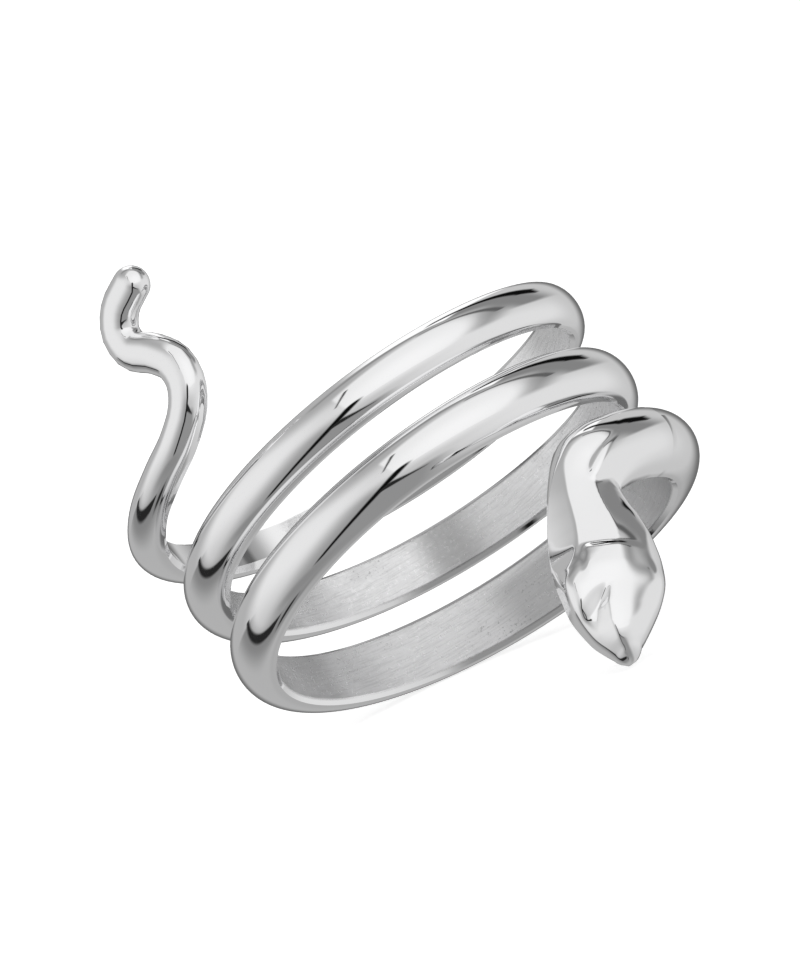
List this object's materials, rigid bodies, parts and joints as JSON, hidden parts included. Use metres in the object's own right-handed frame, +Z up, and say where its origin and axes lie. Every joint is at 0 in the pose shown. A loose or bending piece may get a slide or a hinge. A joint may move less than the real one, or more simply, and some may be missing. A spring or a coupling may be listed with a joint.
{
  "type": "snake wrap ring",
  "caption": "Cast finger ring in the form of a snake that winds round the finger, with a loose tail and a flattened head.",
  "frame": {"origin": "Centre of the resting ring's box at the level of the surface it rests on, z = 0 under the snout and the coil's lower edge.", "axes": "+Z up. The finger hole runs in the YZ plane, 62.7 degrees up from +Y, with the tail at its upper end and the head at its lower end. The ring's front, where the head lies, faces -Y and is turned a little to -X."},
  "size_m": [0.0214, 0.0256, 0.0215],
  "materials": {
    "snake_ring": "cast silver, mirror polished outside, satin and slightly grained on the finger's side"
  },
  "bodies": {
    "root": {"snake_ring": "snake_ring"}
  },
  "joints": []
}
